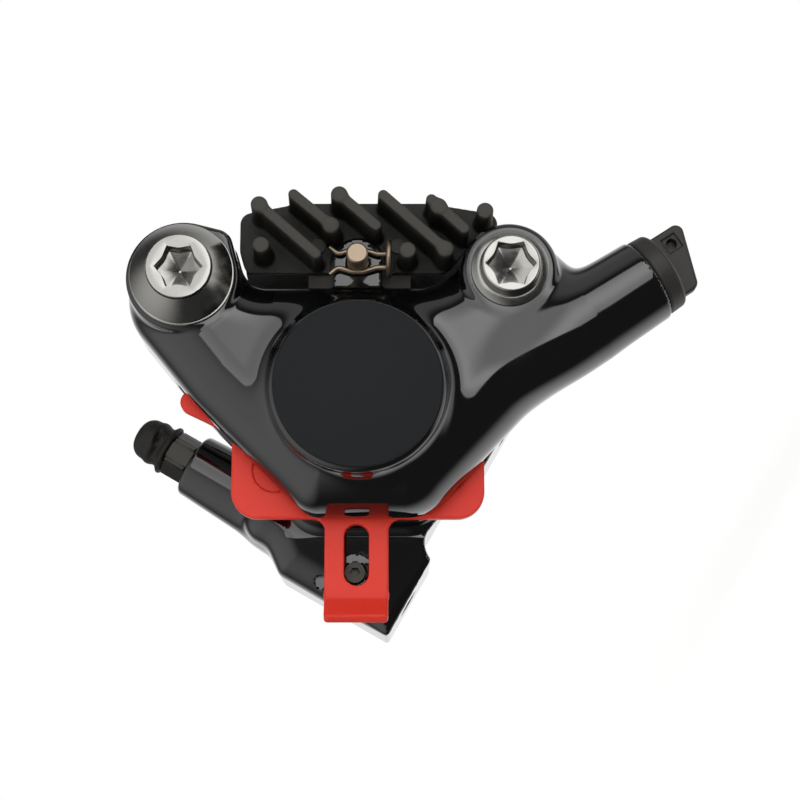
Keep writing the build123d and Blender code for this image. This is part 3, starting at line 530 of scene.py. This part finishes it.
def clamp_bolt(name, ear, seat, head, recess_r, top, node):
    """Turned bolt: shank, then a head whose profile is given, then a six-lobe recess with soft
    rims and a floor that falls in a cone to a drill point."""
    shank = [(0, -11.2), (2.4, -11.2), (3, -10.6), (3, seat)]
    floor = top - 2.5
    lip = recess_r + 0.3
    recess = [
        (lip, top), (recess_r + 0.08, top - 0.08), (recess_r, top - 0.3), (recess_r - 0.05, floor + 0.15),
        (recess_r - 0.2, floor), (recess_r - 0.7, floor - 0.1), (0.3, floor - 0.75), (0, floor - 0.95),
    ]
    shape = drive(lip - 0.01, floor - 0.2, top)
    revolved(name, shank + head + recess, polished_steel, "body", [node], centre=at_ear(ear), shape=shape)


clamp_bolt("upper_bolt", upper_ear, 15.3, [(5.2, 15.3), (5.2, 18.45), *arc((5.05, 18.55), 0.15, 0, 90, 4)],
           3.75, 18.7, "upper_body_bolt")
clamp_bolt("front_bolt", front_ear, 13.3, [
    (6.3, 13.3), *arc((6.1, 13.75), 0.2, 0, 75, 4), (5.2, 14.45), *arc((5.15, 14.85), 0.4, 260, 190, 5),
    *arc((4.35, 16.4), 0.4, 0, 90, 6),
], 3.95, 16.8, "front_body_bolt")
revolved("bolt_washer", [
    (3.2, 15.3), (3.2, 13.6), (8.3, 13.6), *arc((8.3, 13.8), 0.2, -90, 90, 5), (7.5, 14), (7.5, 14.5),
    (8.1, 14.5), *arc((8.1, 14.65), 0.15, -90, 40, 5), (5.4, 17.98),
    *arc((5.34, 17.9), 0.1, 45, 180, 4), (5.24, 15.3),
    (3.2, 15.3),
], polished_steel, "body", ["upper_bolt_washer"], centre=at_ear(upper_ear))


# Hose plug, bleed cap and spacer

def plug(u, v, w):
    """Moulded plug in the tube's end: stem, rounded collar and a flat finger tab whose blind hole
    lies in a squarish dip."""
    ahead = (u - tube_end[0]) * tube_along[0] + (v - tube_end[1]) * tube_along[1]
    aside = (v - tube_end[1]) * tube_along[0] - (u - tube_end[0]) * tube_along[1]
    rise = w - tube_w
    radial = np.hypot(aside, rise)
    collar = slab(radial - 6.8 + 0.06 * ahead, ahead, 0, 3.3, 0.7)
    shape = np.minimum(collar, slab(radial - 3.95, ahead, -9, 1, 0.4))
    tab = belt(ahead, aside, [(1.7, -4.05, 1.55), (5.2, -4.05, 1.55), (8.35, 4, 1.3), (1.7, 4, 1.3)])
    shape = melt(shape, slab(tab, rise, -1.2, 1.2, 0.45), 1)
    dip = np.maximum(abs(ahead - 6.7), abs(aside - 2.8)) - 1.3
    shape = carve(shape, slab(dip, rise, 0.85, 9, 0.2), 0.4)
    return carve(shape, slab(np.hypot(ahead - 6.7, aside - 2.8) - 0.85, rise, -0.7, 9, 0.2), 0.3)


def spacer(u, v, w):
    """Moulded spacer: blade with round dips, wings, and a slotted handle that bends into a lip."""
    blade = belt(u, v, [
        (-16.5, -14.5, 4.5), (-7.6, -21, -2), (-5.1, -31.4, 0.5), (4.3, -31.4, 0.5),
        (6.8, -21, -2), (16, -14.5, 4.5), (19, -5.7, 1.5), (13.7, -2.7, -1.5),
        (10.7, 6.5, 1.5), (-10.7, 6.5, 1.5), (-13.7, -2.7, -1.5), (-19.5, -5.7, 1.5),
    ])
    shape = slab(blade, w, -1, 1, 0.35)
    for wing in ([(-19.6, -4.2, 1.3), (-27.7, 0.5, 2)], [(16, -7, 1.9), (25, -1.3, 1.9)]):
        shape = melt(shape, slab(belt(u, v, wing), w, -1, 1, 0.4), 1)
    for side in (-1, 1):
        shape = carve(shape, slab(np.hypot(u - 13.9 * side, v + 11) - 3.6, abs(w), 0.65, 9, 0.2), 0.5)
    shape = carve(shape, strap(u, v, (-0.4, -21.9), (-0.4, -27.9), 2), 0.5)
    shape = carve(shape, np.maximum(abs(u + 0.8) - 1.5, abs(v + 18.2) - 0.55), 0.3)
    ahead = (v + 31.9) * cos(radians(35)) - w * sin(radians(35))
    rise = (v + 31.9) * sin(radians(35)) + w * cos(radians(35))
    lip = belt(u, ahead, [(-4.9, -3.9, 0.7), (4.1, -3.9, 0.7), (4.6, 0.3, 0.2), (-5.4, 0.3, 0.2)])
    return melt(shape, slab(lip, rise, -0.9, 0.9, 0.4), 0.9)


def bulb(angle, rows, heights):
    """Radius of the cap: its own, with a deep fold and a shallow crease pressed in where it was
    squeezed, each a bump that fades with angle and height."""
    fold = np.exp(-(((angle - 4.9) / 0.38) ** 2) - ((heights - 51.6 - 0.5 * (angle - 4.9)) / 0.42) ** 2)
    crease = np.exp(-(((angle - 4.2) / 0.5) ** 2) - ((heights - 50.9 + 0.8 * (angle - 4.2)) / 0.5) ** 2)
    return rows * (1 - 0.3 * fold - 0.13 * crease)


def hexagon(angle, rows, heights):
    """Radius of the bleed screw: where its profile is wider than the flats, it is cut back to a
    hexagon, whose distance from the axis is half its width over the cosine from a flat."""
    flats = hex_across / 2 / np.cos(angle % (pi / 3) - pi / 6)
    return np.where(rows > 3, np.minimum(rows, flats), rows)


bleed_axis = np.array([bleed_x, 0, 0])
hex_across, hex_low, hex_top, cap_low = 7, 44.65, 48.85, 48.95
moulded("port_plug", plug, (38, 12, 0.5), (60.5, 31, 14.8), 0.22, nylon, "plug", ["hose_plug"])
moulded("transit_spacer", spacer, (-30.5, -37.2, -1.6), (27.8, 8.6, 4.2), 0.3, red_plastic, "spacer",
        ["pad_spacer"])
revolved("nipple_cap", [
    (0, cap_low + 5.4), (2.4, cap_low + 5.4), (2.4, cap_low), *arc((4, cap_low + 0.4), 0.4, -90, 60, 6),
    (3.95, cap_low + 0.95), (3.6, cap_low + 1.3), (3.55, cap_low + 1.6), (3.62, cap_low + 1.9),
    *[(3.62 + 0.28 * sin(pi * t), cap_low + 1.9 + 1.9 * t) for t in np.linspace(0.08, 0.92, 12)],
    *arc((1.22, cap_low + 4.1), 2.4, 0, 90, 14), (0, cap_low + 6.5),
], rubber, "cap", ["bleed_cap"], axes=np.eye(3), centre=bleed_axis, shape=bulb, sharp=60)
revolved("bleed_screw", [
    (0, 34.3), (2.7, 34.3), (2.7, hex_low), (3.7, hex_low), (4.05, hex_low + 0.25),
    (4.05, hex_top - 0.25), (3.7, hex_top), (1.7, hex_top), (1.7, 51.9), (2.3, 52.2), (1.9, 54.1), (0, 54.1),
], black_oxide, "nipple", ["bleed_nipple"], axes=np.eye(3), centre=bleed_axis, shape=hexagon)


# Radiators

def radiator_place(share):
    """Place on the radiator from its shares of width and height."""
    return (radiator_left + share[0] * radiator_width, radiator_bottom + share[1] * radiator_height)


def radiator(u, v, w):
    """Thin cast plate with slanting ribs and round posts, each a little wider at its root."""
    right, top = radiator_left + radiator_width, radiator_bottom + radiator_height
    plate = belt(u, v, [
        (radiator_left + 2, radiator_bottom + 2, 2), (right - 2, radiator_bottom + 2, 2),
        (right - 2, top - 3.6, 2),
        (right / 2, top - 2, 2), (radiator_left / 2, top - 2, 2), (radiator_left + 2, top - 3.6, 2),
    ])
    shape = slab(plate, w, 5.65, 6.55, 0.2)
    draft = 0.03 * np.clip(14 - w, 0, 8)
    for start, end in rib_shares:
        rib = strap(u, v, radiator_place(start), radiator_place(end), 0.85)
        shape = melt(shape, slab(rib - draft, w, 5.8, 14, 0.3), 0.9)
    for share in post_shares:
        place = radiator_place(share)
        post = np.hypot(u - place[0], v - place[1]) - 1.33
        shape = melt(shape, slab(post - draft, w, 5.8, 14, 0.3), 0.9)
    shape = carve(shape, belt(u, v, [(a, b, r + 0.6) for a, b, r in knees + ears]))
    shape = carve(shape, strap(u, v, (axle_u, axle_v), (axle_u, radiator_bottom - 4.5), 4.5))
    for side in (-1, 1):
        rivet = (axle_u + 6.6 * side, axle_v + 3.1)
        shape = carve(shape, stud(u, v, w, rivet, 0.92, 0, 20), 0.1)
        shape = carve(shape, stud(u, v, w, rivet, 1.3, 6.55, 20), 0.1)
    return carve(shape, clip_room(u, v, w))


moulded("inboard_fins", radiator, (-20.5, 17.5, 5.2), (23.5, 34.2, 14.6), 0.22, radiator_coat,
        "inboard_pad", ["inboard_radiator"])
moulded("outboard_fins", lambda u, v, w: radiator(u, v, -w), (-20.5, 17.5, -14.6), (23.5, 34.2, -5.2),
        0.25, radiator_coat, "outboard_pad", ["outboard_radiator"])


# Camera, studio and floor

tilt = radians(12.5)
forward = outward * sin(tilt) - inboard * cos(tilt)
upward = outward * cos(tilt) + inboard * sin(tilt)
aim = mm * (rotor_centre + 42.7 / 6.4 * across - 17.3 / (6.4 * cos(tilt)) * outward + 17 * inboard)
view = bpy.data.cameras.new("camera")
view.lens = 1792 * 36 / 800
view.sensor_width = 36
view.clip_start = 0.01
camera = bpy.data.objects.new("camera", view)
bpy.context.scene.collection.objects.link(camera)
turned = Matrix.Identity(4)
for row in range(3):
    for column, axis in enumerate((across, upward, -forward, aim - 0.28 * forward)):
        turned[row][column] = axis[row]
camera.matrix_world = turned
bpy.context.scene.camera = camera
bpy.context.scene.view_settings.view_transform = "Standard"

world = bpy.data.worlds.new("studio")
bpy.context.scene.world = world
world.use_nodes = True
sky = world.node_tree
direction = add(sky, "ShaderNodeTexCoord").outputs["Generated"]


def facing(axis):
    """Share of the looking direction that lies along an axis of the part frame."""
    axis = np.array(axis, float) / np.linalg.norm(axis)
    return add(sky, "ShaderNodeVectorMath", {0: direction, 1: axis}, operation="DOT_PRODUCT").outputs["Value"]


def sum_up(a, b, operation="ADD"):
    """One calculation on two values."""
    return add(sky, "ShaderNodeMath", {0: a, 1: b}, operation=operation).outputs["Value"]


def fade(value, low, high, start, end):
    """Smooth step of a value from one level to another."""
    return add(sky, "ShaderNodeMapRange", {
        "Value": value, "From Min": low, "From Max": high, "To Min": start, "To Max": end,
    }, interpolation_type="SMOOTHSTEP").outputs["Result"]


def softbox(centre, width, height, soft):
    """Square patch of the sky round a direction, with its size in shares of the distance to it."""
    centre = np.array(centre, float) / np.linalg.norm(centre)
    right = np.cross(outward, centre)
    right /= np.linalg.norm(right)
    ahead = facing(centre)
    mask = fade(ahead, 0.05, 0.1, 0.0, 1.0)
    for axis, size in ((right, width), (np.cross(centre, right), height)):
        share = sum_up(facing(axis), ahead, "DIVIDE")
        share = add(sky, "ShaderNodeMath", {0: share}, operation="ABSOLUTE").outputs["Value"]
        mask = sum_up(mask, fade(share, size - soft, size + soft, 1.0, 0.0), "MULTIPLY")
    return mask


# Square softbox above the camera, brightest just right of its middle; dim walls to the left and top, a bright
# one to the right, and a pale one behind; the room round the camera is dark
aside = facing(across)
glow = sum_up(fade(aside, -0.18, 0.1, 1.2, 2.2), fade(aside, 0.14, 0.34, 1.0, 0.7), "MULTIPLY")
pale = fade(facing(-inboard + 0.4 * across), 0.3, 0.95, 0.0, 1.0)
level = sum_up(sum_up(sum_up(pale, 0.95, "MULTIPLY"), 0.05),
               sum_up(softbox(inboard + 0.35 * outward - 0.05 * across, 0.5, 0.5, 0.03), glow, "MULTIPLY"))
level = sum_up(level, fade(facing(-0.8 * across - 0.35 * outward + 0.3 * inboard), 0.35, 1.0, 0.0, 0.68))
level = sum_up(level, sum_up(softbox(across + 0.3 * outward, 0.6, 0.7, 0.25), 0.8, "MULTIPLY"))
level = sum_up(level, sum_up(softbox(outward + 0.1 * inboard, 0.8, 0.5, 0.2), 0.35, "MULTIPLY"))
# The background is white for the camera and through anything clear, and gloss shows it where it lies
# behind the part
path = add(sky, "ShaderNodeLightPath").outputs
seen = sum_up(path["Is Camera Ray"], path["Is Transmission Ray"])
seen = sum_up(seen, sum_up(path["Is Glossy Ray"], pale, "MULTIPLY"))
strength = add(sky, "ShaderNodeMix", {"Factor": seen, "A": level, "B": 1.0}, data_type="FLOAT")
lamp = sky.nodes["Background"]
lamp.inputs["Color"].default_value = (1, 1, 1, 1)
sky.links.new(strength.outputs["Result"], lamp.inputs["Strength"])

# Broad fill from the camera's side, which lights colours about as they are written and leaves no
# mirror image of itself
fill = bpy.data.lights.new("fill", "SUN")
fill.energy = 1.3
fill.angle = radians(60)
fill_lamp = bpy.data.objects.new("fill", fill)
fill_lamp.matrix_world = turned
fill_lamp.visible_glossy = False
bpy.context.scene.collection.objects.link(fill_lamp)

# Pale floor well below the part. For the camera it glows a little, so that it shows as white
# beyond the soft shadow. Mirror images leave it out, because the enamel in the photograph is dark
# on the side that would face it.
matt_card = finish("matt_card", "#EFEFED", "#F3F3F1", 20.0, 0.9, 0.02, 0.02, 0.01, Specular_IOR_Level=0.1)
card = matt_card.node_tree
card_shader = card.nodes["Principled BSDF"]
card_shader.inputs["Emission Color"].default_value = (1, 1, 1, 1)
rays = add(card, "ShaderNodeLightPath").outputs
straight = {0: rays["Is Camera Ray"], 1: rays["Is Transmission Ray"]}
lift = add(card, "ShaderNodeMath", straight, operation="ADD")
lift = add(card, "ShaderNodeMath", {0: lift.outputs["Value"], 1: 0.62}, operation="MULTIPLY").outputs["Value"]
card.links.new(lift, card_shader.inputs["Emission Strength"])
reach, floor_z = 2.0, -0.045
sheet = bpy.data.meshes.new("floor")
corners = [(x * reach, y * reach, floor_z) for x, y in ((-1, -1), (1, -1), (1, 1), (-1, 1))]
sheet.from_pydata(corners, [], [(0, 1, 2, 3)])
floor = bpy.data.objects.new("floor", sheet)
bpy.context.scene.collection.objects.link(floor)
sheet.materials.append(matt_card)
floor.visible_glossy = False

for name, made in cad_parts.items():
    chosen = {
        "hose_plug": nylon, "bleed_cap": rubber, "pad_spacer": red_plastic, "passage_ring": rubber,
        "axle_clip": satin_nickel, "pad_axle": satin_nickel, "pad_spring": spring_steel,
        "bleed_nipple": black_oxide, "passage_screw": black_oxide,
        "inboard_radiator": radiator_coat, "outboard_radiator": radiator_coat,
        "inboard_body": gloss_enamel, "outboard_body": gloss_enamel,
    }.get(name, polished_steel)
    for ending, other in (("_piston", ceramic), ("_seal", rubber), ("_plate", phosphated_steel),
                          ("_lining", friction_lining), ("_rivets", coated_rivet)):
        chosen = other if name.endswith(ending) else chosen
    made.data.materials.clear()
    made.data.materials.append(chosen)
